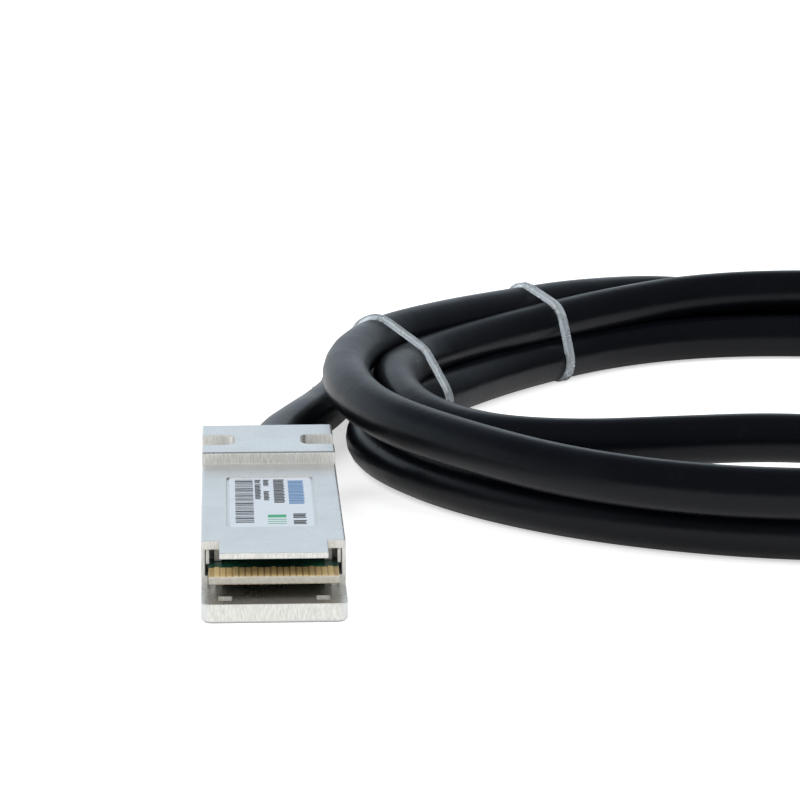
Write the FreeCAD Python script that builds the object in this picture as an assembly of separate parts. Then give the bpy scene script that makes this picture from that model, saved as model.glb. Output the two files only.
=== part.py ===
"""Direct attach copper cable: two pluggable connectors on one stiff round cable, tied in a loose coil.

Frame: +Z up, the plugs point to -Y, and both lie on their flat side with the label side up. The
origin is on the surface they lie on, midway between them and midway along their length.
Each connector is modelled in its own frame: x across, y back from the stop face, z up.
"""
import FreeCAD
import Part
import math
import os

V = FreeCAD.Vector

# ---- connector body -------------------------------------------------------------------------
WIDTH = 18.35            # body width
NOSE_H = 8.5             # height of the part that enters the cage
BLOCK_RISE = 1.64        # extra height of the rear block above the nose
BODY_IN = 52.0           # nose front to stop face, the length inside the cage
BLOCK_L = 17.7           # stop face to rear face
LIP_L = 2.25             # floor in front of the card's edge
SHOULDER = 43.4          # stop face to the front of the side walls
TAB_W = 13.65            # cover tongue over the contacts
COVER_T = 1.1            # cover plate thickness
TAB_T = 0.75             # tongue thickness
LIP_T = 2.5              # floor thickness under the card's front
FLOOR_T = 1.3            # floor thickness inside
WALL_FRONT = 0.5         # side wall beside the card's front
CAVITY_W = 15.2          # inner width behind the mouth
MOUTH_L = 4.0            # length of the wide mouth behind the shoulder
NOSE_CORNER_R = 1.4      # vertical corners of the lip
EDGE_R = 0.3             # long outer edges
FIT = 0.1                # gap between parts that are assembled
SLIDE_GAP = 0.15         # gap beside parts that slide

# ---- side notches of the rear block, which hold the return springs ---------------------------
NOTCH_Y0 = 4.9
NOTCH_L = 6.2
NOTCH_IN = 4.6           # from the middle to the notch's inner end
NOTCH_R = 1.45
NOTCH_FLOOR = 6.3

# ---- label and locating pockets ---------------------------------------------------------------
RECESS_W, RECESS_L, RECESS_D = 11.7, 28.2, 0.2
RECESS_Y = -36.1         # front end of the label recess
RECESS_R = 0.8
LABEL_W, LABEL_L, LABEL_T = 11.0, 27.4, 0.1
POCKET_W, POCKET_L, POCKET_D = 1.75, 2.1, 0.9
POCKET_X, POCKET_Y = 6.2, -50.2

# ---- card and what it carries -----------------------------------------------------------------
CARD_W, CARD_T = 16.42, 1.0
CARD_Z = 4.42            # underside of the card
CARD_REAR_W = 14.9
CARD_REAR = -10.0
CARD_WIDE_L = 9.6        # length of the card's wide front
PAD_COUNT, PAD_PITCH = 19, 0.8
PAD_W, PAD_L, PAD_T = 0.58, 4.4, 0.04
PAD_SET = 0.05           # bevel's end to pad
CARD_BEVEL = 0.15
PAIR_COUNT, PAIR_PITCH = 4, 3.4      # pairs a row, and their pitch at the moulded block
JACKET_WALL = 0.78       # the cable's jacket and braid, outside the pairs
MOULD_L, MOULD_W = 6.0, 14.6
MOULD_Z0 = 2.1
MOULD_GAP = 0.3          # moulded block to the cover
FAN_W, FAN_END = 9.8, 1.6    # opening for the wire pairs at the front of the rear block

# ---- cable and its way out --------------------------------------------------------------------
CABLE_D = 7.0
CABLE_Z = 5.3            # height of the cable's axis where it leaves the block
JACKET_START = 6.5       # the jacket's end inside the block
FERRULE_WALL, FERRULE_L = 0.45, 5.4
GROMMET_WALL, GROMMET_L, GROMMET_OUT = 0.9, 3.5, 1.2
LIP_BORE_L = 1.6         # narrow lip between the ferrule and the grommet
BORE_Y0 = 1.5            # front end of the bore, just short of the opening for the wire pairs

# ---- latch slider -----------------------------------------------------------------------------
SHEET = 0.4
ARM_Z0, ARM_Z1 = 2.6, 5.6
ARM_FRONT = -25.0
ARM_REAR = 15.0
BRIDGE_Y0 = 9.2
BRIDGE_Z = 0.15          # underside of the bridge above the resting face
TRAVEL = 2.5
EAR_Y, EAR_IN = 5.2, 6.1
EAR_Z0, EAR_Z1 = 6.5, 8.5
LATCH_POCKET_L = 3.2
PULL_W, PULL_L, PULL_T = 12.0, 24.8, 1.15
TONGUE_W, TONGUE_OUT = 8.0, 8.0

# ---- return springs ---------------------------------------------------------------------------
SPRING_D, SPRING_WIRE, SPRING_TURNS = 1.7, 0.3, 5
SPRING_X, SPRING_Z = 7.25, 7.45

# ---- screws -----------------------------------------------------------------------------------
SCREW_D, SCREW_HEAD_D, SCREW_HEAD_H = 1.4, 2.6, 0.7
SCREW_X, SCREW_Y = 6.25, -3.6
BOSS_D = 2.4

# ---- layout -----------------------------------------------------------------------------------
PLUG_SPACING = 178.0     # between the two connectors' middles
PLUG_Y = 4.0             # stop face's place along y

# The cable's free stretches, as hand-laid points in the part's frame. They start inside a
# connector and end inside the coil.
NEAR_LEAD = [(-89, 10.5, 5.3), (-89, 28.5, 5.3), (-83.5, 45.7, 5.2), (-79.8, 58.5, 4.9),
             (-76.0, 69.5, 4.4)]
LOOSE_TURN = [(6, 121.5, 3.5), (21.5, 111.5, 3.55), (33, 97, 3.6), (39, 79.5, 3.7), (39, 61, 4.1),
              (32, 44, 5.0), (19, 31, 6.4), (2.5, 23, 7.9), (-14, 19.2, 8.6), (-31, 16.2, 8.8),
              (-46.5, 12.5, 9.2), (-60, 10.2, 9.6)]
FAR_LEAD = [(45.5, 106.5, 3.6), (58.5, 95, 3.55), (70, 82, 3.5), (78.5, 66.5, 4.1), (84.5, 49, 5.15),
            (89, 29, 5.3), (89, 10.5, 5.3)]

# The coil's closed outer shape: a flat ring, drawn out a little towards the back.
COIL_X, COIL_Y = -3.2, 53.0      # middle of the front half
COIL_STRETCH = 6.5               # front half's middle to back half's middle
COIL_OUT_R, COIL_IN_R, COIL_H = 78.5, 61.0, 16.5
COIL_EDGE_R = 3.4

# The ties, each by its direction from the back half's middle.
TIE_ANGLES = (169.2, 132.1)
TIE_W, TIE_T, TIE_GAP = 2.5, 0.9, 0.1
TIE_HEAD = (4.4, 3.6, 3.2)

# ---- worked out -------------------------------------------------------------------------------
BLOCK_H = NOSE_H + BLOCK_RISE
CARD_TOP = CARD_Z + CARD_T
NOSE_Y = -BODY_IN
CARD_FRONT = NOSE_Y + LIP_L
COVER_Z = NOSE_H - COVER_T
MOULD_Z1 = COVER_Z - MOULD_GAP
START_PITCH = (CABLE_D - 2 * JACKET_WALL) / PAIR_COUNT
HALF_W = WIDTH / 2
FERRULE_R = CABLE_D / 2 + FERRULE_WALL
GROMMET_R = CABLE_D / 2 + GROMMET_WALL
ARM_OUT = HALF_W - 0.06
ARM_IN = ARM_OUT - SHEET
ARM_SLOT = ARM_IN - 0.08
PULL_Y0 = BLOCK_L + GROMMET_OUT + 0.3
PULL_END = PULL_Y0 + PULL_L
GRIP_PITCH = 2.4

parts = {}


def box(x0, x1, y0, y1, z0, z1):
    """A block between two corners."""
    return Part.makeBox(x1 - x0, y1 - y0, z1 - z0, V(x0, y0, z0))


def both_sides(shape):
    """The shape and its mirror image across the connector's middle, as one compound."""
    return shape.fuse(shape.mirror(V(0, 0, 0), V(1, 0, 0)))


def rod(r, y0, y1, x=0.0, z=CABLE_Z):
    """A round bar along y."""
    return Part.makeCylinder(r, y1 - y0, V(x, y0, z), V(0, 1, 0))


def plate(x0, x1, y0, y1, z0, z1, r):
    """A plate with rounded corners in plan."""
    body = box(x0, x1, y0, y1, z0, z1)
    edges = [e for e in body.Edges if abs(e.tangentAt(e.FirstParameter).z) > 0.99]
    return body.makeFillet(r, edges)


def edges_at_height(body, z, along_y_only=False):
    """The level edges of a body at one height, all of them or only those along y."""
    found = [e for e in body.Edges if abs(e.BoundBox.ZMin - z) < 0.01 and e.BoundBox.ZLength < 0.01]
    if along_y_only:
        found = [e for e in found if e.BoundBox.XLength < 0.01]
    return found


def slider_space():
    """The recess that the latch slider's arms, drops and bridge run in."""
    reach = TRAVEL + SLIDE_GAP
    arms = box(ARM_SLOT, HALF_W + 1, ARM_FRONT - LATCH_POCKET_L, BLOCK_L + 1,
               ARM_Z0 - SLIDE_GAP, ARM_Z1 + SLIDE_GAP)
    catch = box(ARM_SLOT - 0.45, HALF_W + 1, ARM_FRONT - LATCH_POCKET_L, ARM_FRONT - 0.3,
                ARM_Z0 - SLIDE_GAP, ARM_Z1 + SLIDE_GAP)
    drops = box(ARM_SLOT, HALF_W + 1, BRIDGE_Y0 - SLIDE_GAP, BLOCK_L + 1, -1, ARM_Z0)
    risers = box(ARM_SLOT, HALF_W + 1, EAR_Y - SLIDE_GAP, EAR_Y + 2 * SHEET + reach,
                 ARM_Z1, EAR_Z1 + 0.4)
    bridge = box(-HALF_W - 1, HALF_W + 1, BRIDGE_Y0 - SLIDE_GAP, BLOCK_L + 1,
                 -1, BRIDGE_Z + SHEET + SLIDE_GAP)
    return both_sides(arms.fuse([catch, drops, risers])).fuse(bridge)


def notches():
    """The two side notches of the rear block, open at the side and on top."""
    one = plate(NOTCH_IN, HALF_W + 4, NOTCH_Y0, NOTCH_Y0 + NOTCH_L, NOTCH_FLOOR, BLOCK_H + 1, NOTCH_R)
    return both_sides(one)


def cable_bore():
    """The stepped hole for the ferrule, the cable and the grommet."""
    grommet_y = BLOCK_L - GROMMET_L
    lip_y = grommet_y - LIP_BORE_L
    bore = rod(FERRULE_R + FIT, BORE_Y0, lip_y).fuse(rod(CABLE_D / 2 + FIT, lip_y - 1, grommet_y + 1))
    return bore.fuse(rod(GROMMET_R + FIT, grommet_y, BLOCK_L + 1))


def lower_shell():
    """The cast tray: lip, floor, side walls, ledges for the card, bosses and the block's lower half."""
    rear = box(-HALF_W, HALF_W, 0, BLOCK_L, 0, CABLE_Z)
    tray = box(-HALF_W, HALF_W, -SHOULDER, 0, 0, COVER_Z)
    lip = box(-HALF_W, HALF_W, NOSE_Y, -SHOULDER + 1, 0, LIP_T)
    corners = [e for e in lip.Edges if e.BoundBox.ZLength > 1 and e.BoundBox.YMax < NOSE_Y + 0.01]
    lip = lip.makeFillet(NOSE_CORNER_R, corners)
    front = [e for e in lip.Edges if e.BoundBox.ZMax < 0.01 and e.BoundBox.YMax < NOSE_Y + 0.01]
    lip = lip.makeChamfer(0.35, front)
    body = tray.fuse([lip, rear])

    mouth_end = -SHOULDER + MOUTH_L
    mouth = box(-HALF_W + WALL_FRONT, HALF_W - WALL_FRONT, -SHOULDER - 1, mouth_end, CARD_Z - 0.42, NOSE_H)
    mouth_low = box(-CARD_W / 2 - FIT, CARD_W / 2 + FIT, -SHOULDER - 1, mouth_end, LIP_T, NOSE_H)
    hollow = box(-CAVITY_W / 2, CAVITY_W / 2, mouth_end - 1, -2, FLOOR_T, NOSE_H)
    fan = box(-FAN_W / 2, FAN_W / 2, -3, FAN_END, CABLE_Z - 2.9, NOSE_H)
    body = body.cut(mouth.fuse([mouth_low, hollow, fan]))

    ledge = box(CARD_REAR_W / 2 - 0.9, CAVITY_W / 2, mouth_end - 2.2, CARD_REAR - MOULD_L, FLOOR_T, CARD_Z)
    front_ledge = box(CARD_W / 2 - 0.9, CARD_W / 2 + FIT, -SHOULDER + 0.3, mouth_end, LIP_T, CARD_Z)
    boss = Part.makeCylinder(BOSS_D / 2, CARD_Z - FLOOR_T + 1.6, V(SCREW_X, SCREW_Y, FLOOR_T - 0.1))
    body = body.fuse(both_sides(ledge.fuse([front_ledge, boss])))

    pocket = box(POCKET_X - POCKET_W / 2, POCKET_X + POCKET_W / 2, POCKET_Y, POCKET_Y + POCKET_L,
                 LIP_T - POCKET_D, LIP_T + 1)
    body = body.cut(both_sides(pocket.fuse(screw_space())))
    body = body.cut(cable_bore().fuse(slider_space()))
    return body.removeSplitter()


def screw_space():
    """Clearance for one countersunk screw, from the resting face up into the cover."""
    head = Part.makeCone(SCREW_HEAD_D / 2 + FIT, SCREW_D / 2 + FIT, SCREW_HEAD_H + 0.1,
                         V(SCREW_X, SCREW_Y, 0))
    below = Part.makeCylinder(SCREW_HEAD_D / 2 + FIT, 1, V(SCREW_X, SCREW_Y, -1))
    shank = Part.makeCylinder(SCREW_D / 2 + 0.02, COVER_Z + 0.2, V(SCREW_X, SCREW_Y, 0))
    return head.fuse([below, shank])


def upper_cover():
    """The cast cover: tongue, plate with the label recess, card ribs and the block's upper half."""
    cover_plate = box(-HALF_W, HALF_W, -SHOULDER, 0, COVER_Z, NOSE_H)
    tongue = plate(-TAB_W / 2, TAB_W / 2, CARD_FRONT, -SHOULDER + 3, NOSE_H - TAB_T, NOSE_H, 0.35)
    block = box(-HALF_W, HALF_W, 0, BLOCK_L, CABLE_Z, BLOCK_H)
    cover_plate = cover_plate.makeFillet(EDGE_R, edges_at_height(cover_plate, NOSE_H, along_y_only=True))
    block = block.makeFillet(EDGE_R, edges_at_height(block, BLOCK_H))
    body = cover_plate.fuse([tongue, block])

    mouth_end = -SHOULDER + MOUTH_L
    skirt_out = HALF_W - WALL_FRONT - FIT
    skirt = box(skirt_out - 0.45, skirt_out, -SHOULDER + 0.15, mouth_end - FIT, CARD_TOP + FIT, COVER_Z + 0.2)
    rib = box(CARD_REAR_W / 2 - 0.9, CAVITY_W / 2 - FIT, mouth_end - 2.2, CARD_REAR - MOULD_L,
              CARD_TOP + 0.05, COVER_Z + 0.2)
    boss_z = CARD_Z + 1.5 + FIT
    boss = Part.makeCylinder(BOSS_D / 2, COVER_Z - boss_z + 0.2, V(SCREW_X, SCREW_Y, boss_z))
    body = body.fuse(both_sides(skirt.fuse([rib, boss])))

    recess = plate(-RECESS_W / 2, RECESS_W / 2, RECESS_Y, RECESS_Y + RECESS_L, NOSE_H - RECESS_D,
                   NOSE_H + 1, RECESS_R)
    fan = box(-FAN_W / 2, FAN_W / 2, -1, FAN_END, CABLE_Z - 1, CABLE_Z + 2.9)
    thread = Part.makeCylinder(SCREW_D / 2 + 0.02, COVER_Z - 1.0, V(SCREW_X, SCREW_Y, 0.9))
    body = body.cut([both_sides(thread), recess, fan, notches()])
    body = body.cut(cable_bore().fuse(slider_space()))
    return body.removeSplitter()


def label():
    """The label, lying in its recess."""
    y0 = RECESS_Y + (RECESS_L - LABEL_L) / 2
    z0 = NOSE_H - RECESS_D
    return plate(-LABEL_W / 2, LABEL_W / 2, y0, y0 + LABEL_L, z0, z0 + LABEL_T, RECESS_R - 0.3)


def paddle_card():
    """The circuit card: a wide front with a bevelled edge, and a narrower rear."""
    wide_end = CARD_FRONT + CARD_WIDE_L
    bevel = CARD_BEVEL
    profile = [V(0, CARD_FRONT, CARD_Z + bevel), V(0, CARD_FRONT + 2 * bevel, CARD_Z),
               V(0, wide_end, CARD_Z), V(0, wide_end, CARD_TOP),
               V(0, CARD_FRONT + 2 * bevel, CARD_TOP), V(0, CARD_FRONT, CARD_TOP - bevel)]
    face = Part.Face(Part.makePolygon(profile + profile[:1]))
    front = face.extrude(V(CARD_W, 0, 0))
    front.translate(V(-CARD_W / 2, 0, 0))
    rear = box(-CARD_REAR_W / 2, CARD_REAR_W / 2, wide_end - 1, CARD_REAR, CARD_Z, CARD_TOP)
    notch_r = 0.4
    keys = both_sides(Part.makeCylinder(notch_r, 3, V(CARD_REAR_W / 2 + 0.05, -30.0, CARD_Z - 1)))
    return front.fuse(rear).cut(keys).removeSplitter()


def contact_pads():
    """Two rows of gold contact pads on the card's faces, every third one longer."""
    pads = []
    first = -(PAD_COUNT - 1) / 2 * PAD_PITCH
    for i in range(PAD_COUNT):
        x = first + i * PAD_PITCH
        length = PAD_L + (0.35 if i % 3 == 0 else 0.0)
        y0 = CARD_FRONT + 2 * CARD_BEVEL + PAD_SET
        for z0 in (CARD_TOP, CARD_Z - PAD_T):
            pads.append(box(x - PAD_W / 2, x + PAD_W / 2, y0, y0 + length, z0, z0 + PAD_T))
    return Part.makeCompound(pads)


def memory_chip():
    """The module's memory chip, with its moulded body's bevelled top."""
    body = box(-1.5, 1.5, -27.0, -24.0, CARD_TOP, CARD_TOP + 0.85)
    top = [e for e in body.Edges if abs(e.BoundBox.ZMin - CARD_TOP - 0.85) < 0.01]
    return body.makeChamfer(0.15, top)


def passives():
    """Small capacitors and resistors beside the chip."""
    rows = [box(x, x + 0.5, -26.6 + i * 1.3, -25.6 + i * 1.3, CARD_TOP, CARD_TOP + 0.45)
            for x in (-4.0, 3.4) for i in range(3)]
    return Part.makeCompound(rows)


def inner_mould():
    """The moulded block that holds the card's rear end and the soldered wires."""
    y0 = CARD_REAR - MOULD_L + 1.5
    body = plate(-MOULD_W / 2, MOULD_W / 2, y0, y0 + MOULD_L, MOULD_Z0, MOULD_Z1, 0.6)
    return body.cut(paddle_card())


def wire_pairs():
    """Eight shielded pairs fanning out from the cable's end to the moulded block."""
    pairs = []
    y_front = CARD_REAR - MOULD_L + 1.5 + MOULD_L
    for row, z in ((1, CARD_TOP + 0.55), (-1, CARD_Z - 0.55)):
        for i in range(PAIR_COUNT):
            step = i - (PAIR_COUNT - 1) / 2
            half = START_PITCH / 2 - 0.06
            middle = V(step * START_PITCH, JACKET_START, CABLE_Z + row * (half + 0.1))
            start = Part.Ellipse(middle, half, half - 0.02)
            start.Axis = V(0, 1, 0)
            end = Part.Ellipse(V(step * PAIR_PITCH, y_front, z), 0.9, 0.5)
            end.Axis = V(0, 1, 0)
            loft = Part.makeLoft([Part.Wire(start.toShape()), Part.Wire(end.toShape())], True, True)
            pairs.append(loft)
    return Part.makeCompound(pairs)


def crimp_ferrule():
    """The crimped ring over the braid at the jacket's end, with two crimp grooves."""
    y0 = JACKET_START + 0.3
    r_in, r_out = CABLE_D / 2, FERRULE_R
    groove = 0.15
    outline = [V(r_in, y0, 0), V(r_out, y0, 0)]
    for k in (0.3, 0.6):
        y = y0 + k * FERRULE_L
        outline += [V(r_out, y - 0.5, 0), V(r_out - groove, y - 0.3, 0),
                    V(r_out - groove, y + 0.3, 0), V(r_out, y + 0.5, 0)]
    outline += [V(r_out, y0 + FERRULE_L, 0), V(r_in, y0 + FERRULE_L, 0)]
    face = Part.Face(Part.makePolygon(outline + outline[:1]))
    ring = face.revolve(V(0, 0, 0), V(0, 1, 0), 360)
    ring.translate(V(0, 0, CABLE_Z))
    return ring


def grommet():
    """The rubber grommet in the rear opening, with a rounded outer end."""
    y0, y1 = BLOCK_L - GROMMET_L, BLOCK_L + GROMMET_OUT
    outer = rod(GROMMET_R, y0, y1)
    rim = [e for e in outer.Edges if e.BoundBox.YMin > y1 - 0.01]
    outer = outer.makeFillet(0.5, rim)
    return outer.cut(rod(CABLE_D / 2, y0 - 1, y1 + 1))


def latch_slider():
    """The stamped steel slider: side arms with ramped tips, ears for the springs, and a bridge."""
    arm = box(ARM_IN, ARM_OUT, ARM_FRONT, ARM_REAR, ARM_Z0, ARM_Z1)
    tip_corners = [e for e in arm.Edges if e.BoundBox.XLength > 0.1 and e.BoundBox.YMax < ARM_FRONT + 0.01]
    arm = arm.makeFillet(0.8, tip_corners)
    drop = box(ARM_IN, ARM_OUT, BRIDGE_Y0, ARM_REAR, BRIDGE_Z, ARM_Z0 + 0.1)
    riser = box(ARM_IN, ARM_OUT, EAR_Y, EAR_Y + 2 * SHEET, ARM_Z1 - 0.1, EAR_Z1)
    ear = box(EAR_IN, ARM_OUT, EAR_Y, EAR_Y + SHEET, EAR_Z0, EAR_Z1)
    bridge = box(-ARM_OUT, ARM_OUT, BRIDGE_Y0, ARM_REAR, BRIDGE_Z, BRIDGE_Z + SHEET)
    tongue = plate(-TONGUE_W / 2, TONGUE_W / 2, ARM_REAR - 2, BLOCK_L + TONGUE_OUT,
                   BRIDGE_Z, BRIDGE_Z + SHEET, 1.0)
    wedge_y0 = ARM_FRONT + 1.2
    wedge_face = Part.Face(Part.makePolygon([
        V(ARM_IN - 0.06, wedge_y0, 0), V(ARM_IN, wedge_y0 - 1.0, 0), V(ARM_IN, wedge_y0 + 3.0, 0),
        V(ARM_IN - 0.06, wedge_y0, 0)]))
    wedge = wedge_face.extrude(V(0, 0, 1.6))
    wedge.translate(V(0, 0, (ARM_Z0 + ARM_Z1) / 2 - 0.8))
    sides = both_sides(arm.fuse([drop, riser, ear, wedge]))
    body = sides.fuse([bridge, tongue])
    bends = []
    for edge in body.Edges:
        b = edge.BoundBox
        if b.YLength > 4 and b.ZMax < BRIDGE_Z + 0.01 and abs(abs(b.XMin) - ARM_OUT) < 0.01:
            bends.append(edge)
    return body.makeFillet(0.35, bends).removeSplitter()


def pull_tab():
    """The soft plastic pull tab moulded on the slider's tongue, with grip ribs."""
    body = plate(-PULL_W / 2, PULL_W / 2, PULL_Y0, PULL_END, BRIDGE_Z - 0.1, BRIDGE_Z - 0.1 + PULL_T, 2.5)
    body = body.cut(box(-TONGUE_W / 2 - 0.02, TONGUE_W / 2 + 0.02, 0, BLOCK_L + TONGUE_OUT + 0.02,
                        BRIDGE_Z - 0.02, BRIDGE_Z + SHEET + 0.02))
    first = PULL_END - 4 * GRIP_PITCH
    grooves = [box(-PULL_W / 2 + 1.2, PULL_W / 2 - 1.2, first + i * GRIP_PITCH, first + i * GRIP_PITCH + 0.8,
                   BRIDGE_Z + PULL_T - 0.3, BRIDGE_Z + PULL_T + 1) for i in range(3)]
    return body.cut(grooves[0].fuse(grooves[1:]))


def return_springs():
    """Two small compression springs between the slider's ears and the notches' rear walls."""
    r = (SPRING_D - SPRING_WIRE) / 2
    y0 = EAR_Y + SHEET + 0.05 + SPRING_WIRE / 2
    length = NOTCH_Y0 + NOTCH_L - 0.05 - SPRING_WIRE / 2 - y0
    helix = Part.makeHelix(length / SPRING_TURNS, length, r)
    corners = [V(r + SPRING_WIRE / 2 * math.cos(math.radians(a)), 0, SPRING_WIRE / 2 * math.sin(math.radians(a)))
               for a in range(0, 360, 90)]
    section = Part.makePolygon(corners + corners[:1])
    coil = Part.Wire(helix).makePipeShell([section], True, True)
    coil.rotate(V(0, 0, 0), V(1, 0, 0), -90)
    left, right = coil.copy(), coil.copy()
    left.translate(V(-SPRING_X, y0, SPRING_Z))
    right.translate(V(SPRING_X, y0, SPRING_Z))
    return Part.makeCompound([left, right])


def shell_screws():
    """Two countersunk screws that hold the cover down, put in from the resting face."""
    tip = COVER_Z - 0.6
    head = Part.makeCone(SCREW_HEAD_D / 2, SCREW_D / 2, SCREW_HEAD_H, V(SCREW_X, SCREW_Y, 0.1))
    shank = Part.makeCylinder(SCREW_D / 2, tip - 0.1, V(SCREW_X, SCREW_Y, 0.1))
    slot = box(SCREW_X - 0.8, SCREW_X + 0.8, SCREW_Y - 0.15, SCREW_Y + 0.15, 0, 0.4)
    one = head.fuse(shank).cut(slot)
    return Part.makeCompound([one, one.mirror(V(0, 0, 0), V(1, 0, 0))])


def rounded_path(points):
    """Straight runs joined by tangent arcs, each as large as its two runs allow."""
    pts = [V(*p) for p in points]
    edges, radii, at = [], [], pts[0]
    for a, b, c in zip(pts, pts[1:], pts[2:]):
        u, w = (b - a).normalize(), (c - b).normalize()
        half = u.getAngle(w) / 2
        reach = 0.45 * min((b - a).Length, (c - b).Length)
        radius = reach / math.tan(half)
        start, end = b - u * reach, b + w * reach
        middle = b + (w - u).normalize() * (radius / math.cos(half) - radius)
        edges += [Part.LineSegment(at, start).toShape(), Part.Arc(start, middle, end).toShape()]
        radii.append(radius)
        at = end
    edges.append(Part.LineSegment(at, pts[-1]).toShape())
    return Part.Wire(edges), radii


def tube(name, points):
    """A round cable along the route, checked against its section times its length."""
    path, radii = rounded_path(points)
    heading = V(*points[1]) - V(*points[0])
    ring = Part.Wire(Part.makeCircle(CABLE_D / 2, V(*points[0]), heading))
    solid = path.makePipeShell([ring], True, True)
    section = math.pi * CABLE_D ** 2 / 4 * path.Length
    print(name, "radii", [round(r, 1) for r in radii], "length", round(path.Length, 1),
          "volume over section x length", round(solid.Volume / section, 4))
    return solid


def at_back(shape, angle):
    """Turn a shape to a direction round the middle of the coil's back half and put it there."""
    shape.rotate(V(0, 0, 0), V(0, 0, 1), angle)
    shape.translate(V(COIL_X, COIL_Y + COIL_STRETCH, 0))
    return shape


def cable_coil():
    """The closed outer shape of the turns: two half rings and the short straights between them."""
    outline = []
    for x, z, first in ((COIL_OUT_R, 0, -90), (COIL_OUT_R, COIL_H, 0), (COIL_IN_R, COIL_H, 90), (COIL_IN_R, 0, 180)):
        mx = x - COIL_EDGE_R if x == COIL_OUT_R else x + COIL_EDGE_R
        mz = z + COIL_EDGE_R if z == 0 else z - COIL_EDGE_R
        for turn in (0, 45, 90):
            a = math.radians(first + turn)
            outline.append(V(mx + COIL_EDGE_R * math.cos(a), 0, mz + COIL_EDGE_R * math.sin(a)))
    face = Part.Face(Part.makePolygon(outline + outline[:1]))
    half_ring = face.revolve(V(0, 0, 0), V(0, 0, 1), 180)
    straights = both_sides(face.extrude(V(0, -COIL_STRETCH, 0)))
    front = half_ring.mirror(V(0, 0, 0), V(0, 1, 0))
    front.translate(V(0, -COIL_STRETCH, 0))
    ring = at_back(half_ring.fuse([straights, front]).removeSplitter(), 0)
    half = TIE_W / 2 + TIE_GAP
    for angle in TIE_ANGLES:
        groove = box(COIL_IN_R - 5, COIL_OUT_R + 5, -half, half, -1, TIE_T + TIE_GAP)
        ring = ring.cut(at_back(groove, angle))
    return ring


def cable_tie(angle):
    """A nylon tie round the coil: a closed band, rounded over the top, and its square head inside."""
    r0, r1 = COIL_IN_R - TIE_GAP, COIL_OUT_R + TIE_GAP
    top = COIL_H + TIE_GAP
    band = box(r0 - TIE_T, r1 + TIE_T, -TIE_W / 2, TIE_W / 2, 0, top + TIE_T)
    hole = box(r0, r1, -TIE_W, TIE_W, TIE_T, top)
    band = band.makeFillet(COIL_EDGE_R + TIE_T, upper_corners(band))
    band = band.cut(hole.makeFillet(COIL_EDGE_R - 2 * TIE_GAP, upper_corners(hole)))
    w, d, h = TIE_HEAD
    end = r0 - TIE_T + 0.3
    head = box(end - h, end, -d / 2, d / 2, 0.3, 0.3 + w)
    return at_back(band.fuse(head).removeSplitter(), angle)


def upper_corners(block):
    """The two edges across the top of a block, along y."""
    high = block.BoundBox.ZMax
    return [e for e in block.Edges if e.BoundBox.ZMin > high - 0.01 and e.BoundBox.XLength < 0.01]


CONNECTOR = {
    "lower_shell": lower_shell,
    "upper_cover": upper_cover,
    "label": label,
    "paddle_card": paddle_card,
    "contact_pads": contact_pads,
    "memory_chip": memory_chip,
    "passives": passives,
    "inner_mould": inner_mould,
    "wire_pairs": wire_pairs,
    "crimp_ferrule": crimp_ferrule,
    "grommet": grommet,
    "latch_slider": latch_slider,
    "pull_tab": pull_tab,
    "return_springs": return_springs,
    "shell_screws": shell_screws,
}

for piece, make in CONNECTOR.items():
    for end, side in (("near", -1), ("far", 1)):
        shape = make()
        shape.translate(V(side * PLUG_SPACING / 2, PLUG_Y, 0))
        parts[end + "_" + piece] = shape

parts["near_lead"] = tube("near_lead", NEAR_LEAD)
parts["loose_turn"] = tube("loose_turn", LOOSE_TURN)
parts["far_lead"] = tube("far_lead", FAR_LEAD)
parts["cable_coil"] = cable_coil()
for number, angle in enumerate(TIE_ANGLES, 1):
    parts["tie_%d" % number] = cable_tie(angle)

os.makedirs("parts", exist_ok=True)
for node, shape in parts.items():
    shape.exportStep("parts/" + node + ".step")
print("plug y", PLUG_Y, "nodes", len(parts))
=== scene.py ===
import bmesh
import bpy
import math
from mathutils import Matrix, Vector


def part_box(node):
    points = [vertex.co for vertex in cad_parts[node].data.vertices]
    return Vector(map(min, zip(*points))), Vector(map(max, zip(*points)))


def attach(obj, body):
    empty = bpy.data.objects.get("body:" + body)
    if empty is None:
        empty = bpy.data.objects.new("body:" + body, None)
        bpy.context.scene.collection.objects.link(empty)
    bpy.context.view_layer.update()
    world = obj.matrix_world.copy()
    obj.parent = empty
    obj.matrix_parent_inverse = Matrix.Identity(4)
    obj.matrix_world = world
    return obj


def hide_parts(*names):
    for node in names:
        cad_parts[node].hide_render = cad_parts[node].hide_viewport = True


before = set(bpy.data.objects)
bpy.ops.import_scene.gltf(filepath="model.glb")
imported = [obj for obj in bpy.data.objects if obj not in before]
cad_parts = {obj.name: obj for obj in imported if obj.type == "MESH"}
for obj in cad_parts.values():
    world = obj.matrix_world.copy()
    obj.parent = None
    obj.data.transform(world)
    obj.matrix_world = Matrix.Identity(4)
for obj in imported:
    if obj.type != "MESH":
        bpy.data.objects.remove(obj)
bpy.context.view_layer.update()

MM = 0.001
X, Y, Z = 0, 1, 2
ENDS = ("near", "far")
ROOT = "cable_and_plugs"
SORTING = Vector((1.0, 0.7137, 0.5311))         # a slanted direction, so that few places tie on it

POCKET_LOW, POCKET_TOP = 0.0012, 0.0018         # heights round the floor of a shell's locating pockets
POCKET_FRONT, POCKET_REAR = -0.0465, -0.0438
PADS_REAR = -0.0409                             # end of the card's gold pads

# ---- the cable's course -----------------------------------------------------------------------
CABLE_R = 3.5 * MM
MIDDLE = Vector((-0.005, 0.04826, 0))           # the middle of the coil's turns
FIRST_TURN, LAST_TURN = 0.06, 3.36              # between them the coil's own control points lie
STEPS = 24                                      # control points a turn
OUTSET = 1 / (0.75 + 0.25 * math.cos(math.tau / STEPS))     # a control point lies outside its curve

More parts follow.
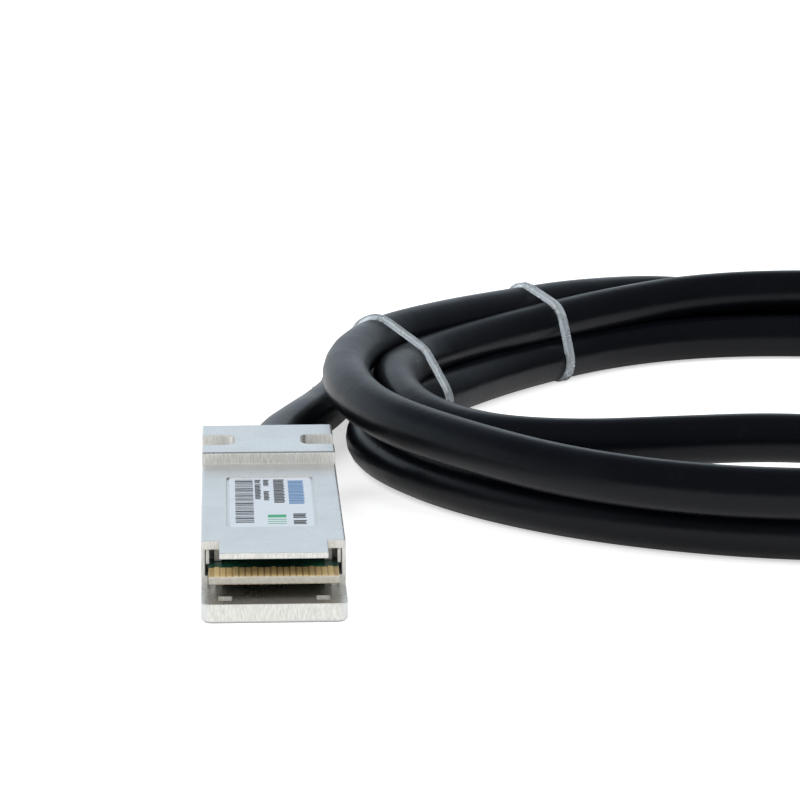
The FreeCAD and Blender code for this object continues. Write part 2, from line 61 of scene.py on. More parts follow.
# The leads: control points in metres.
NEAR_LEAD = [(-0.089, 0.0105, 0.0053), (-0.089, 0.0285, 0.0053), (-0.0835, 0.0457, 0.0051),
             (-0.0798, 0.0585, 0.0045)]
FAR_LEAD = [(0.0585, 0.0945, 0.0036), (0.070, 0.082, 0.0036), (0.0785, 0.0665, 0.0038),
            (0.0845, 0.049, 0.00515), (0.089, 0.029, 0.0053), (0.089, 0.0105, 0.0053)]

# The coil: turns gone, distance from the middle and height, the last two in millimetres. The first turn
# is the lowest, and the loose turn swings inwards between 1.35 and 1.95 turns.
COIL_KEYS = [
    (0.035, 76, 3.6), (0.25, 76, 3.55), (0.5, 70, 3.55), (0.75, 69, 3.55), (0.9, 69, 3.55),
    (0.97, 69.6, 3.55), (1.0, 69, 3.55), (1.03, 65.2, 3.55), (1.06, 60.8, 3.55), (1.095, 60, 3.55),
    (1.155, 62.6, 3.55), (1.2, 67.6, 3.55), (1.25, 69.7, 3.55), (1.35, 66, 3.55), (1.45, 54, 3.55),
    (1.55, 44, 4.2), (1.6, 39.5, 5.0), (1.65, 36.2, 6.2), (1.7, 34.6, 7.5), (1.75, 35, 8.7),
    (1.8, 37.2, 9.6), (1.85, 43.1, 9.2), (1.9, 53.6, 8.1), (1.95, 61, 7.5), (2.0, 64.4, 9.2),
    (2.03, 64.9, 9.5), (2.06, 65.4, 8.5), (2.105, 63.6, 8.7), (2.157, 64.2, 9.2), (2.181, 66.7, 9.5),
    (2.21, 70.2, 10.0), (2.25, 75.2, 10.3), (2.5, 71, 10.1), (2.75, 72.2, 9.9), (2.83, 72.9, 9.8),
    (2.9, 72.4, 11.2), (2.95, 73.6, 12.0), (3.0, 71.4, 12.6), (3.053, 71.2, 12.1), (3.091, 68.6, 11.9),
    (3.144, 69.2, 11.1), (3.168, 71.6, 10.7), (3.191, 75.8, 10.0), (3.205, 79.2, 9.3),
    (3.225, 82.8, 8.4), (3.27, 83.5, 4.4), (3.32, 82.3, 3.6), (3.42, 80, 3.55)]

# ---- the ties ---------------------------------------------------------------------------------
TIES = (("tie_1", 153), ("tie_2", 127))         # each one's CAD piece and its direction in degrees
STRAP_WIDE, STRAP_THICK = 1.6 * MM, 0.7 * MM
STRAP_LOWEST = 0.01 * MM
HEAD_DEEP, HEAD_TALL, HEAD_WIDE = 2.7 * MM, 3.0 * MM, 3.7 * MM
HEAD_LOW, HEAD_AT = 0.25 * MM, 2.0 * MM         # its underside, and the height of its place on the strap
TAIL_THICK, TAIL_TALL, TAIL_WIDE = 0.8 * MM, 1.9 * MM, 1.8 * MM

# ---- the label's print, in millimetres --------------------------------------------------------
DARK, BLUE, GREEN = 0, 1, 2                     # the inks' places on the print
INK_THICK = 0.012
BARS_FIRST, BARS_LAST = 0.9, 25.4               # distances from the label's rear edge
BARS_SIDES = (-4.7, -2.3)
BAR_WIDTHS, BAR_GAPS = (0.28, 0.5, 0.28, 0.75, 0.4), (0.36, 0.3, 0.55)
DASHES, DASH_GAP = (0.62, 0.8, 0.54), 0.2
RAGGED = 0.12                                   # every other dash is this much shorter
# Rows of dashes: left and right edge, the runs' starts and lengths, and the ink.
ROWS = [(-2.05, -1.25, ((1.0, 2.0), (3.6, 8.6)), DARK),
        (-0.9, -0.15, ((1.0, 3.6), (7.6, 5.3)), DARK),
        (0.45, 1.9, ((0.9, 13.6),), DARK),
        (2.4, 4.5, ((1.6, 13.4),), BLUE),
        (2.8, 4.5, ((20.4, 2.6), (24.0, 2.2)), DARK)]
PATCH_SIDES = (-0.5, 1.9)
PATCHES = ((20.9, 1.5), (23.3, 0.3), (24.4, 0.3), (25.5, 0.3))      # starts and lengths

# ---- the studio -------------------------------------------------------------------------------
LENS, SENSOR = 170.64, 36
CAMERA_ASIDE, CAMERA_BACK, CAMERA_HEIGHT = -0.006, -0.4597, 0.1257  # from the near cover's front edge
CAMERA_DOWN, CAMERA_TURN = 12, 2.71                                 # degrees
FLOOR_GLOW, FLOOR_MIRRORED = 0.58, 0.12
AMBIENT, FRONT_ROOM = (0.62, 0.63, 0.64), (0.12, 0.13, 0.15)
WALL_SIDE = (-0.5, 0.87, 0)                     # the direction of the white wall
# The wall as it shows in reflections: height of the direction, and colour.
WALL = [(0.0, (0.76, 0.86, 0.94)), (0.42, (0.73, 0.84, 0.93)), (0.62, (0.16, 0.19, 0.23)),
        (1.0, (0.09, 0.1, 0.12))]


# ---- shapes -----------------------------------------------------------------------------------
def link(name, data):
    obj = bpy.data.objects.new(name, data)
    bpy.context.scene.collection.objects.link(obj)
    return obj


def mesh_object(name, bm):
    """A new object with the mesh that was built, its parts ordered by their places.

    A bevel leaves its parts in an order that changes from run to run.
    """
    bm.verts.sort(key=lambda v: v.co.dot(SORTING))
    bm.edges.sort(key=lambda e: (e.verts[0].co + e.verts[1].co).dot(SORTING))
    bm.faces.sort(key=lambda f: f.calc_center_median().dot(SORTING))
    mesh = bpy.data.meshes.new(name)
    bm.to_mesh(mesh)
    bm.free()
    return link(name, mesh)


def touching(verts, kind):
    """The edges or faces that touch the vertices, each once and always in the same order."""
    return list(dict.fromkeys(part for v in verts for part in getattr(v, kind)))


def along(turns):
    """Distance and height at a number of turns: a smooth curve through the keys."""
    keys = COIL_KEYS
    i = max(k for k in range(len(keys) - 1) if keys[k][0] <= turns)
    a, b = keys[i], keys[i + 1]
    before, after = keys[max(i - 1, 0)], keys[min(i + 2, len(keys) - 1)]
    width = b[0] - a[0]
    t = (turns - a[0]) / width
    out = []
    for n in (1, 2):
        m0 = (b[n] - before[n]) / (b[0] - before[0]) * width
        m1 = (after[n] - a[n]) / (after[0] - a[0]) * width
        out.append((2 * t ** 3 - 3 * t * t + 1) * a[n] + (t ** 3 - 2 * t * t + t) * m0
                   + (3 * t * t - 2 * t ** 3) * b[n] + (t ** 3 - t * t) * m1)
    return out


def coil_point(turns):
    """A control point of the coil, clockwise from its left side seen from above."""
    radius, height = along(turns)
    angle = math.radians(180 - 360 * turns)
    r = radius * OUTSET * MM
    return (MIDDLE.x + r * math.cos(angle), MIDDLE.y + r * math.sin(angle), height * MM)


def cable_route():
    """The cable's control points, from the near plug to the far one."""
    route = list(NEAR_LEAD)
    turn = FIRST_TURN
    while turn < LAST_TURN:
        route.append(coil_point(turn))
        turn += 1 / STEPS
    return route + FAR_LEAD


def smooth_curve(name, points, radius):
    """An open smooth round cable with the points as its control points."""
    data = bpy.data.curves.new(name, "CURVE")
    data.dimensions = "3D"
    spline = data.splines.new("NURBS")
    spline.points.add(len(points) - 1)
    for p, co in zip(spline.points, points):
        p.co = (*co, 1.0)
        p.radius = radius
    spline.order_u = 3
    spline.use_endpoint_u = True
    spline.resolution_u = 10
    data.bevel_depth = 1.0      # times each point's radius
    data.bevel_resolution = 8
    data.use_fill_caps = True
    return link(name, data)


def centre_line(curve):
    """Points along a curve's own line, as Blender draws it without its thickness."""
    bare = curve.copy()
    bare.data = curve.data.copy()
    bare.data.bevel_depth = 0
    bpy.context.scene.collection.objects.link(bare)
    bpy.context.view_layer.update()
    mesh = bpy.data.meshes.new_from_object(bare.evaluated_get(bpy.context.evaluated_depsgraph_get()))
    points = [v.co.copy() for v in mesh.vertices]
    bpy.data.objects.remove(bare)
    return points


def crossings(points, centre, out, across, reach):
    """Where the line goes through an upright plane: distance outwards, height and slant."""
    found = []
    for p, q in zip(points, points[1:]):
        a, b = (p - centre).dot(across), (q - centre).dot(across)
        if a * b <= 0 and a != b:
            hit = p.lerp(q, a / (a - b))
            where = (hit - centre).dot(out)
            slant = abs((q - p).normalized().dot(across))
            if abs(where) < reach:
                found.append((where, hit.z, slant))
    return found


def hull(points):
    """The points' outline, counter-clockwise, as the shortest loop round them."""
    points = sorted(points)

    def chain(row):
        kept = []
        for p in row:
            while len(kept) > 1:
                (ax, ay), (bx, by) = kept[-2], kept[-1]
                if (bx - ax) * (p[1] - ay) - (by - ay) * (p[0] - ax) > 0:
                    break
                kept.pop()
            kept.append(p)
        return kept[:-1]

    return chain(points) + chain(points[::-1])


def resample(loop, step, rounds=3):
    """The same closed loop with points about one step apart, its corners eased in a few rounds."""
    pts = [Vector(p) for p in loop]
    dense = []
    for p, q in zip(pts, pts[1:] + pts[:1]):
        n = max(1, round((q - p).length / step))
        dense += [p.lerp(q, i / n) for i in range(n)]
    for _ in range(rounds):
        dense = [(dense[i - 1] + 2 * p + dense[(i + 1) % len(dense)]) / 4 for i, p in enumerate(dense)]
    return dense


def strap_path(line, centre, out, across):
    """The loop that a tie takes in its own upright plane, round the strands that cross the plane."""
    rim = 40                                    # points round each strand
    r = CABLE_R + 0.05 * MM
    ring = []
    for where, height, slant in crossings(line, centre, out, across, reach=0.03):
        for k in range(rim):
            g = k * math.tau / rim
            ring.append((where + r / slant * math.cos(g), max(height + r * math.sin(g), STRAP_THICK)))
    return resample(hull(ring), step=0.7 * MM)


def strap_profile():
    """The strap's section as lift and place across: a flat band with eased edges and a groove."""
    half, corner, shoulder = STRAP_WIDE / 2, 0.2 * MM, 0.7 * STRAP_THICK
    brim, bed, bottom = 0.55 * MM, 0.3 * MM, STRAP_THICK - 0.22 * MM
    return [(0, -half), (shoulder, -half), (STRAP_THICK, corner - half), (STRAP_THICK, -brim),
            (bottom, -bed), (bottom, bed), (STRAP_THICK, brim), (STRAP_THICK, half - corner),
            (shoulder, half), (0, half)]


def tie(node, angle, line):
    """A nylon tie pulled round the strands that cross its plane: grooved strap, head and cut tail."""
    low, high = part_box(node)
    centre = Vector(((low[0] + high[0]) / 2, (low[1] + high[1]) / 2, 0))
    a = math.radians(angle)
    out = Vector((math.cos(a), math.sin(a), 0))
    across = Vector((-out.y, out.x, 0))

    def place(flat, up, aside):
        return centre + out * flat + Vector((0, 0, up)) + across * aside

    path, profile = strap_path(line, centre, out, across), strap_profile()
    count = len(path)
    bm = bmesh.new()
    rows = []
    for i, p in enumerate(path):
        t = (path[(i + 1) % count] - path[i - 1]).normalized()
        normal = Vector((t.y, -t.x))
        row = []
        for lift, aside in profile:
            q = p + normal * lift
            row.append(bm.verts.new(place(q.x, max(q.y, STRAP_LOWEST), aside)))
        rows.append(row)
    for i in range(count):
        a_row, b_row = rows[i], rows[(i + 1) % count]
        for k in range(len(profile)):
            n = (k + 1) % len(profile)
            bm.faces.new((a_row[k], a_row[n], b_row[n], b_row[k]))

    # The head sits where the strap runs upright on the bundle's outer side, near the floor.
    head = max(path, key=lambda p: p.x - abs(p.y - HEAD_AT) * 3)
    tie_head(bm, head.x + 0.3 * STRAP_THICK, place)
    bmesh.ops.recalc_face_normals(bm, faces=bm.faces)
    made = mesh_object(node + "_nylon", bm)
    for face in made.data.polygons:
        face.use_smooth = True
    made.data.set_sharp_from_angle(angle=math.radians(38))
    return made


def tie_head(bm, x0, place):
    """The tie's head: a bevelled block with its strap window, and the strap's cut end above it."""
    made = bmesh.ops.create_cube(bm, size=1.0)["verts"]
    for v in made:
        v.co = place(x0 + (v.co.x + 0.5) * HEAD_DEEP, HEAD_LOW + (v.co.z + 0.5) * HEAD_TALL,
                     v.co.y * HEAD_WIDE)
    top = max(touching(made, "link_faces"), key=lambda f: f.calc_center_median().z)
    bmesh.ops.inset_individual(bm, faces=[top], thickness=0.6 * MM, depth=-1.1 * MM)
    bmesh.ops.bevel(bm, geom=touching(made, "link_edges"), offset=0.35 * MM, segments=3, profile=0.6,
                    affect="EDGES")
    tail = bmesh.ops.create_cube(bm, size=1.0)["verts"]
    for v in tail:
        lean = 0.25 * MM * (v.co.z + 0.5)
        v.co = place(x0 + (0.9 * MM + (v.co.x + 0.5) * TAIL_THICK + lean),
                     HEAD_LOW + HEAD_TALL - 1.2 * MM + (v.co.z + 0.5) * TAIL_TALL, v.co.y * TAIL_WIDE)
    bmesh.ops.bevel(bm, geom=touching(tail, "link_edges"), offset=0.12 * MM, segments=2, profile=0.5,
                    affect="EDGES")


def block(bm, x0, x1, y0, y1, z0, z1, material):
    """A thin printed block."""
    verts = bmesh.ops.create_cube(bm, size=1.0)["verts"]
    for v in verts:
        v.co = Vector((x0 + (v.co.x + 0.5) * (x1 - x0), y0 + (v.co.y + 0.5) * (y1 - y0),
                       z0 + (v.co.z + 0.5) * (z1 - z0)))
    for f in touching(verts, "link_faces"):
        f.material_index = material


def label_print(end, inks):
    """Plain bars and blocks of ink on a label. They spell nothing."""
    low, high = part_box(end + "_label")
    mx, rear, top = (low[0] + high[0]) / 2, high[1], high[2]
    bm = bmesh.new()

    def stripe(x0, x1, back, length, colour):
        y1 = rear - back * MM
        block(bm, mx + x0 * MM, mx + x1 * MM, y1 - length * MM, y1, top, top + INK_THICK * MM, colour)

    back, k = BARS_FIRST, 0
    while back < BARS_LAST:
        width = BAR_WIDTHS[k * 3 % 5]
        stripe(*BARS_SIDES, back, width, DARK)
        back += width + BAR_GAPS[k % 3]
        k += 1
    for x0, x1, runs, colour in ROWS:
        for start, length in runs:
            back, k = start, 0
            while back < start + length - 0.01:
                step = min(DASHES[k % 3], start + length - back)
                stripe(x0, x1 - RAGGED * (k % 2), back, step, colour)
                back += step + DASH_GAP
                k += 1
    for back, length in PATCHES:
        stripe(*PATCH_SIDES, back, length, GREEN)
    made = mesh_object(end + "_label_print", bm)
    for material in inks:
        made.data.materials.append(material)
    return made


# ---- materials --------------------------------------------------------------------------------
class Graph:
    """The nodes of a material or a world, while they are built."""

    def __init__(self, owner):
        owner.use_nodes = True
        self.tree = owner.node_tree

    def feed(self, socket, value):
        """Link another node's socket to this one, or set this one's own value."""
        if isinstance(value, bpy.types.NodeSocket):
            self.tree.links.new(value, socket)
        elif socket.type == "RGBA":
            socket.default_value = (*value, 1)
        else:
            socket.default_value = value

    def node(self, kind, inputs=(), **settings):
        made = self.tree.nodes.new(kind)
        for key, value in settings.items():
            setattr(made, key, value)
        for key, value in dict(inputs).items():
            self.feed(made.inputs[key], value)
        return made

    def math(self, operation, *values):
        return self.node("ShaderNodeMath", enumerate(values), operation=operation).outputs[0]

    def dot(self, first, second):
        made = self.node("ShaderNodeVectorMath", {0: first, 1: second}, operation="DOT_PRODUCT")
        return made.outputs["Value"]

    def tint(self, factor, first, second):
        """The first colour where the factor is 0, the second where it is 1."""
        made = self.node("ShaderNodeMix", {0: factor, 6: first, 7: second}, data_type="RGBA")
        return made.outputs[2]

    def spread(self, value, low, high, out_low=0.0, out_high=1.0):
        """A value carried from one range to another, and kept inside it."""
        return self.node("ShaderNodeMapRange", {"Value": value, "From Min": low, "From Max": high,
                                                "To Min": out_low, "To Max": out_high}).outputs[0]

    def vary(self, noise, low, high):
        """A value that follows a noise, which mostly lies between 0.3 and 0.7."""
        return self.spread(noise, 0.3, 0.7, low, high)


class Look(Graph):
    """One material, built from its shader backwards."""

    def __init__(self, name, color, roughness, metallic=0.0, **sockets):
        self.material = bpy.data.materials.new(name)
        super().__init__(self.material)
        self.shader = self.tree.nodes["Principled BSDF"]
        self.place = self.node("ShaderNodeTexCoord").outputs["Object"]
        sockets.update(Base_Color=color, Roughness=roughness, Metallic=metallic)
        for socket, value in sockets.items():
            self.feed(self.shader.inputs[socket.replace("_", " ")], value)

    def stretched(self, x, y, z):
        return self.node("ShaderNodeMapping", {"Vector": self.place, "Scale": (x, y, z)}).outputs[0]

    def noise(self, size, detail=3.0, rough=0.55, vector=None):
        """Cloudy noise with features about one size across, in metres."""
        return self.node("ShaderNodeTexNoise", {"Vector": vector or self.place, "Scale": 1 / size,
                                                "Detail": detail, "Roughness": rough}).outputs["Fac"]

    def cells(self, size):
        """Small cells about one size across, in metres."""
        return self.node("ShaderNodeTexVoronoi", {"Vector": self.place,
                                                  "Scale": 1 / size}).outputs["Distance"]

    def facing(self, axis):
        """How squarely the surface faces an axis, 0 to 1."""
        normal = self.node("ShaderNodeNewGeometry").outputs["Normal"]
        split = self.node("ShaderNodeSeparateXYZ", {"Vector": normal})
        return self.math("ABSOLUTE", split.outputs[axis])

    def within(self, axis, low, high):
        """1 between two places along an axis of the object, in metres."""
        split = self.node("ShaderNodeSeparateXYZ", {"Vector": self.place})
        above = self.math("GREATER_THAN", split.outputs[axis], low)
        return self.math("MULTIPLY", above, self.math("LESS_THAN", split.outputs[axis], high))

    def edges(self, radius):
        """The eased normal near sharp edges, and how near an edge a point is."""
        eased = self.node("ShaderNodeBevel", {"Radius": radius}, samples=6).outputs[0]
        normal = self.node("ShaderNodeNewGeometry").outputs["Normal"]
        return eased, self.spread(self.dot(eased, normal), 0.995, 0.85)

    def bumps(self, *layers, normal=None):
        """Each layer is a height and its depth in metres."""
        for height, depth in layers:
            inputs = {"Height": height, "Distance": depth, "Strength": 1.0}
            if normal is not None:
                inputs["Normal"] = normal
            normal = self.node("ShaderNodeBump", inputs).outputs[0]
        self.feed(self.shader.inputs["Normal"], normal)

    def color(self, socket):
        self.feed(self.shader.inputs["Base Color"], socket)

    def roughness(self, socket):
        self.feed(self.shader.inputs["Roughness"], socket)

    def metallic(self, socket):
        self.feed(self.shader.inputs["Metallic"], socket)


def shell_metal():
    """Satin nickel over a die casting: fine grain, faint clouds, edges painted lighter as rubbed wear
    and a painted highlight, a few fine scratches.

    The faces across the length are milled and duller. The floors of the two locating pockets are painted
    pale and matt: a painted highlight.
    """
    m = Look("shell_metal", (0.8, 0.8, 0.79), 0.3, 1.0)
    eased, edge_wear_and_highlight = m.edges(0.00022)
    cloud = m.noise(0.006, 3)
    grain = m.noise(0.00016, 2)
    marks = m.spread(m.noise(0.0004, 2, vector=m.stretched(6, 0.35, 6)), 0.62, 0.75)
    milled = m.spread(m.facing(Y), 0.8, 0.95)
    hatch = m.noise(0.00035, 3, 0.7, vector=m.stretched(2.2, 1, 0.35))
    # Painted highlight: the floors of the two locating pockets are made pale and matt, so that they show
    # bright.
    pocket_painted_highlight = m.math("MULTIPLY", m.within(Z, POCKET_LOW, POCKET_TOP),
                    m.within(Y, POCKET_FRONT, POCKET_REAR))
    pocket_painted_highlight = m.math("MULTIPLY", pocket_painted_highlight, m.spread(m.facing(Z), 0.8, 0.9))
    cut = m.tint(m.spread(hatch, 0.35, 0.65), (0.7, 0.69, 0.64), (0.98, 0.97, 0.92))
    body = m.tint(cloud, (0.77, 0.775, 0.77), (0.84, 0.84, 0.83))
    body = m.tint(marks, body, (0.92, 0.92, 0.91))
    body = m.tint(milled, body, cut)
    # Edges painted lighter: partly rubbed wear, partly a painted highlight.
    body = m.tint(edge_wear_and_highlight, body, (0.93, 0.92, 0.9))
    m.color(m.tint(pocket_painted_highlight, body, (0.95, 0.95, 0.93)))
    rough = m.math("ADD", m.vary(grain, 0.24, 0.34), m.vary(cloud, -0.03, 0.05))
    m.roughness(m.math("ADD", rough, m.math("MULTIPLY", milled, 0.15)))
    # Milled faces are duller; the pocket floors lose their metal as part of the painted highlight.
    dull = m.math("MAXIMUM", m.math("MULTIPLY", milled, 0.7), m.math("MULTIPLY", pocket_painted_highlight, 0.88))
    m.metallic(m.math("SUBTRACT", 0.88, dull))
    m.bumps((grain, 0.0000035), (marks, -0.000002), (cloud, 0.00001),
            (m.math("MULTIPLY", hatch, milled), 0.00002), normal=eased)
    return m.material


def stamped_steel(name, color, dark, line_axis):
    """Rolled sheet with fine lines along one axis."""
    m = Look(name, color, 0.3, 1.0)
    eased, edge_wear_and_highlight = m.edges(0.00012)
    stretch = [9.0, 9.0, 9.0]
    stretch[line_axis] = 0.3
    lines = m.noise(0.0009, 3, vector=m.stretched(*stretch))
    cloud = m.noise(0.004, 2)
    body = m.tint(m.math("MULTIPLY", lines, cloud), color, dark)
    # Edges painted lighter: partly rubbed wear, partly a painted highlight.
    m.color(m.tint(edge_wear_and_highlight, body, tuple(min(1, c * 1.2) for c in color)))
    m.roughness(m.vary(lines, 0.2, 0.38))
    m.bumps((lines, 0.000004), normal=eased)
    return m.material


def gold():
    """Gold plate over nickel, with wiping marks along the pads."""
    m = Look("gold_pads", (0.83, 0.6, 0.27), 0.35, 0.4)
    wipes = m.noise(0.0004, 3, vector=m.stretched(8, 0.4, 8))
    cloud = m.noise(0.003, 2)
    body = m.tint(cloud, (1.0, 0.76, 0.36), (0.93, 0.67, 0.3))
    m.color(m.tint(m.spread(wipes, 0.5, 0.8), body, (1.0, 0.84, 0.52)))
    m.roughness(m.vary(wipes, 0.3, 0.46))
    m.bumps((wipes, 0.000003))
    return m.material


def laminate():
    """Green solder mask over traces, bare board between the gold pads, glass fibre on the cut edges."""
    m = Look("card_laminate", (0.02, 0.1, 0.06), 0.28)
    up = m.spread(m.facing(Z), 0.93, 0.97)
    weave = m.cells(0.0005)
    traces = m.noise(0.0007, 1, vector=m.stretched(3, 0.3, 3))
    mask = m.tint(m.spread(traces, 0.5, 0.55), (0.008, 0.05, 0.032), (0.015, 0.1, 0.055))
    fibre = m.tint(weave, (0.47, 0.44, 0.37), (0.6, 0.57, 0.5))
    bare = m.tint(weave, (0.42, 0.3, 0.13), (0.55, 0.4, 0.19))
    mask = m.tint(m.within(Y, -1, PADS_REAR), mask, bare)
    m.color(m.tint(up, fibre, mask))
    m.roughness(m.spread(up, 0, 1, 0.7, 0.26))
    m.bumps((weave, 0.000008), (traces, 0.00001))
    return m.material


def jacket():
    """Blue-black PVC: satin skin, faint orange peel, soft clouds, scuffs and dust."""
    m = Look("cable_jacket", (0.002, 0.0025, 0.004), 0.32, Specular_IOR_Level=0.23)
    cloud = m.noise(0.012, 3)
    peel = m.noise(0.0011, 2)
    fine = m.noise(0.0003, 2)
    scuffs = m.spread(m.noise(0.0022, 6, 0.7), 0.6, 0.78)
    body = m.tint(cloud, (0.0012, 0.0016, 0.003), (0.0028, 0.0035, 0.0058))
    m.color(m.tint(m.math("MULTIPLY", scuffs, 0.5), body, (0.009, 0.0105, 0.013)))
    m.roughness(m.math("ADD", m.vary(cloud, 0.27, 0.36), m.math("MULTIPLY", scuffs, 0.1)))
    m.bumps((cloud, 0.00015), (peel, 0.00002), (fine, 0.000006))
    return m.material


def nylon():
    """Natural nylon: milky, with flow marks and a soft gloss."""
    m = Look("tie_nylon", (0.72, 0.75, 0.76), 0.3, Transmission_Weight=0.72, IOR=1.53)
    flow = m.noise(0.002, 3)
    fine = m.noise(0.0002, 2)
    m.color(m.tint(flow, (0.64, 0.71, 0.76), (0.78, 0.84, 0.88)))
    m.roughness(m.vary(flow, 0.24, 0.38))
    m.bumps((flow, 0.00002), (fine, 0.000005))
    return m.material


def film():
    """The label's matt film, with a very fine tooth and a slight lift at places."""
    m = Look("label_film", (0.78, 0.8, 0.82), 0.42)
    tooth = m.noise(0.00012, 2)
    lift = m.noise(0.005, 2)
    m.color(m.tint(lift, (0.57, 0.63, 0.7), (0.63, 0.69, 0.75)))
    m.roughness(m.vary(tooth, 0.36, 0.5))
    m.bumps((tooth, 0.000002), (lift, 0.00003))
    return m.material


def ink(name, color):
    """Printed ink, thinner here and there."""
    m = Look(name, color, 0.5)
    thin = m.noise(0.0003, 3)
    pale = tuple(c * 0.6 + 0.14 for c in color)
    m.color(m.tint(m.spread(thin, 0.5, 0.8), color, pale))
    m.roughness(m.vary(thin, 0.42, 0.58))
    return m.material


def moulded(name, color, light, roughness, grain_size, depth):
    """Moulded plastic or rubber with a fine even grain, and edges painted lighter: rubbed wear and a
    painted highlight.
    """
    m = Look(name, color, roughness)
    eased, edge_wear_and_highlight = m.edges(0.0002)
    grain = m.cells(grain_size)
    cloud = m.noise(0.005, 3)
    body = m.tint(cloud, color, light)
    # Edges painted lighter: partly rubbed wear, partly a painted highlight.
    m.color(m.tint(m.math("MULTIPLY", edge_wear_and_highlight, 0.6), body, tuple(c * 1.8 + 0.01 for c in light)))
    m.roughness(m.vary(cloud, roughness - 0.06, roughness + 0.08))
    m.bumps((grain, depth), (cloud, 0.00003), normal=eased)
    return m.material


def foil():
    """Wrinkled shield foil round the wire pairs."""
    m = Look("pair_foil", (0.72, 0.72, 0.74), 0.3, 1.0)
    wrinkle = m.noise(0.0012, 4, 0.65, vector=m.stretched(1, 0.5, 1))
    m.color(m.tint(wrinkle, (0.58, 0.58, 0.6), (0.82, 0.82, 0.83)))
    m.roughness(m.vary(wrinkle, 0.2, 0.4))
    m.bumps((wrinkle, 0.0001))
    return m.material


def brass():
    """Turned and crimped brass with fine lathe rings."""
    m = Look("ferrule_brass", (0.72, 0.53, 0.26), 0.28, 1.0)
    rings = m.noise(0.0006, 2, vector=m.stretched(0.2, 8, 0.2))
    cloud = m.noise(0.003, 3)
    m.color(m.tint(cloud, (0.76, 0.57, 0.3), (0.6, 0.42, 0.2)))
    m.roughness(m.vary(rings, 0.2, 0.36))
    m.bumps((rings, 0.000006))
    return m.material


def ceramic():
    """Small parts: brown ceramic bodies with tinned ends."""
    m = Look("ceramic", (0.3, 0.2, 0.12), 0.4)
    speck = m.noise(0.00015, 2)
    ends = m.spread(m.facing(X), 0.7, 0.9)
    m.color(m.tint(ends, m.tint(speck, (0.24, 0.15, 0.08), (0.38, 0.27, 0.17)), (0.62, 0.62, 0.6)))
    m.roughness(m.vary(speck, 0.3, 0.5))
    m.bumps((speck, 0.000006))
    return m.material


def studio_floor():
    """White table: it shows white to the eye and dim in reflections, and keeps a soft shadow."""
    material = bpy.data.materials.new("studio_floor")
    g = Graph(material)
    g.tree.nodes.clear()
    path = g.node("ShaderNodeLightPath").outputs
    seen = g.math("MAXIMUM", path["Is Camera Ray"], path["Is Transmission Ray"])
    mirrored = g.math("MULTIPLY", path["Is Glossy Ray"], FLOOR_MIRRORED)
    strength = g.math("MULTIPLY_ADD", seen, FLOOR_GLOW, mirrored)
    matt = g.node("ShaderNodeBsdfDiffuse", {"Color": (0.8, 0.8, 0.8)}).outputs[0]
    glow = g.node("ShaderNodeEmission", {"Strength": strength}).outputs[0]
    both = g.node("ShaderNodeAddShader", {0: matt, 1: glow}).outputs[0]
    g.node("ShaderNodeOutputMaterial", {"Surface": both})
    return material


def studio_world():
    """White to the eye. In reflections it has a white wall behind and left, and a dark room in front."""
    world = bpy.data.worlds.new("studio")
    bpy.context.scene.world = world
    g = Graph(world)
    place = g.node("ShaderNodeTexCoord").outputs["Generated"]
    height = g.node("ShaderNodeSeparateXYZ", {0: place}).outputs["Z"]
    ramp = g.node("ShaderNodeValToRGB", {0: height})
    bar = ramp.color_ramp.elements
    bar[0].position, bar[0].color = WALL[0][0], (*WALL[0][1], 1)
    bar[1].position, bar[1].color = WALL[-1][0], (*WALL[-1][1], 1)
    for position, color in WALL[1:-1]:
        bar.new(position).color = (*color, 1)
    behind = g.spread(g.dot(place, WALL_SIDE), -0.12, 0.85)
    skirting = g.spread(height, 0.0, 0.04, 1.0, 0.0)
    path = g.node("ShaderNodeLightPath").outputs
    mirrored = g.tint(g.math("MAXIMUM", behind, skirting), FRONT_ROOM, ramp.outputs[0])
    unseen = g.tint(path["Is Glossy Ray"], AMBIENT, mirrored)
    seen = g.math("MAXIMUM", path["Is Camera Ray"], path["Is Transmission Ray"])
    g.feed(g.tree.nodes["Background"].inputs["Color"], g.tint(seen, unseen, (1, 1, 1)))


# ---- stage ------------------------------------------------------------------------------------
def camera():
    data = bpy.data.cameras.new("camera")
    cam = link("camera", data)
    data.sensor_width = SENSOR
    data.lens = LENS
    low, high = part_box("near_upper_cover")
    cam.location = Vector(((low[0] + high[0]) / 2 + CAMERA_ASIDE, low[1] + CAMERA_BACK, CAMERA_HEIGHT))
    cam.rotation_euler = (math.pi / 2 - math.radians(CAMERA_DOWN), 0, -math.radians(CAMERA_TURN))
    data.clip_start, data.clip_end = 0.01, 20
    bpy.context.scene.camera = cam


def softbox(name, place, target, size, energy):
    data = bpy.data.lights.new(name, "AREA")
    data.shape = "SQUARE"
    data.size = size
    data.energy = energy
    lamp = link(name, data)
    lamp.location = place
    lamp.rotation_euler = (Vector(target) - Vector(place)).to_track_quat("-Z", "Y").to_euler()
    lamp.visible_glossy = False


def floor(half=4):
    mesh = bpy.data.meshes.new("floor")
    corners = [(-half, -half, 0), (half, -half, 0), (half, half, 0), (-half, half, 0)]
    mesh.from_pydata(corners, [], [(0, 1, 2, 3)])
    plane = link("floor", mesh)
    mesh.materials.append(studio_floor())


# ---- the object -------------------------------------------------------------------------------
cable = smooth_curve("cable", cable_route(), CABLE_R)
cable.data.materials.append(jacket())
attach(cable, ROOT)
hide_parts("near_lead", "far_lead", "loose_turn", "cable_coil")

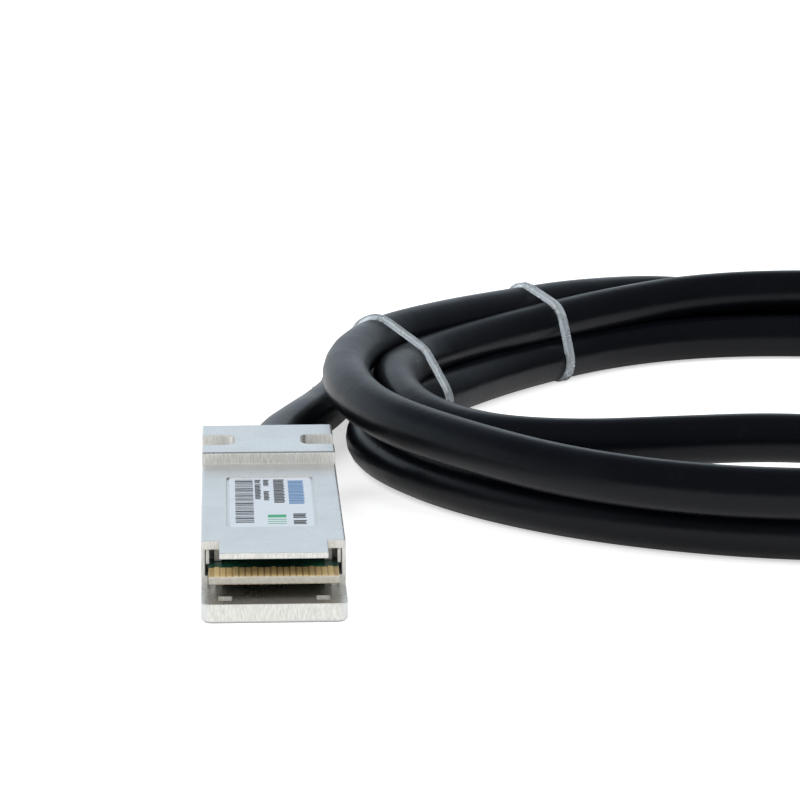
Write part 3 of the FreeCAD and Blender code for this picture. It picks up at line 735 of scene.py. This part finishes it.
cable_line = centre_line(cable)
white_nylon = nylon()
for node, angle in TIES:
    piece = tie(node, angle, cable_line)
    piece.data.materials.append(white_nylon)
    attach(piece, ROOT)
    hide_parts(node)

inks = [ink("ink_dark", (0.03, 0.03, 0.035)), ink("ink_blue", (0.07, 0.2, 0.42)),
        ink("ink_green", (0.03, 0.36, 0.16))]
for end in ENDS:
    printed = label_print(end, inks)
    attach(printed, ROOT)

metal = shell_metal()
LOOKS = {
    "lower_shell": metal,
    "upper_cover": metal,
    "label": film(),
    "paddle_card": laminate(),
    "contact_pads": gold(),
    "memory_chip": moulded("chip_plastic", (0.02, 0.02, 0.021), (0.035, 0.035, 0.036),
                           roughness=0.5, grain_size=0.00012, depth=0.000006),
    "passives": ceramic(),
    "inner_mould": moulded("mould_plastic", (0.03, 0.03, 0.034), (0.05, 0.05, 0.055),
                           roughness=0.45, grain_size=0.0003, depth=0.00001),
    "wire_pairs": foil(),
    "crimp_ferrule": brass(),
    "grommet": moulded("grommet_rubber", (0.015, 0.015, 0.016), (0.03, 0.03, 0.031),
                       roughness=0.62, grain_size=0.0003, depth=0.000012),
    "latch_slider": stamped_steel("latch_steel", (0.66, 0.66, 0.65), (0.48, 0.48, 0.48), line_axis=Y),
    "pull_tab": moulded("tab_plastic", (0.018, 0.019, 0.022), (0.032, 0.033, 0.037),
                        roughness=0.42, grain_size=0.00025, depth=0.00001),
    "return_springs": stamped_steel("spring_steel", (0.6, 0.59, 0.57), (0.4, 0.39, 0.38), line_axis=X),
    "shell_screws": stamped_steel("screw_steel", (0.3, 0.3, 0.31), (0.14, 0.14, 0.15), line_axis=Z),
}
for end in ENDS:
    for piece, look in LOOKS.items():
        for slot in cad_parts[end + "_" + piece].material_slots:
            slot.material = look

camera()
floor()
studio_world()
softbox("softbox_left", (-0.75, -0.35, 0.9), target=(-0.02, 0.03, 0), size=0.8, energy=6.0)
softbox("softbox_right", (0.6, -0.5, 1.0), target=(0.0, 0.05, 0), size=0.9, energy=5.0)
bpy.context.scene.view_settings.view_transform = "Standard"
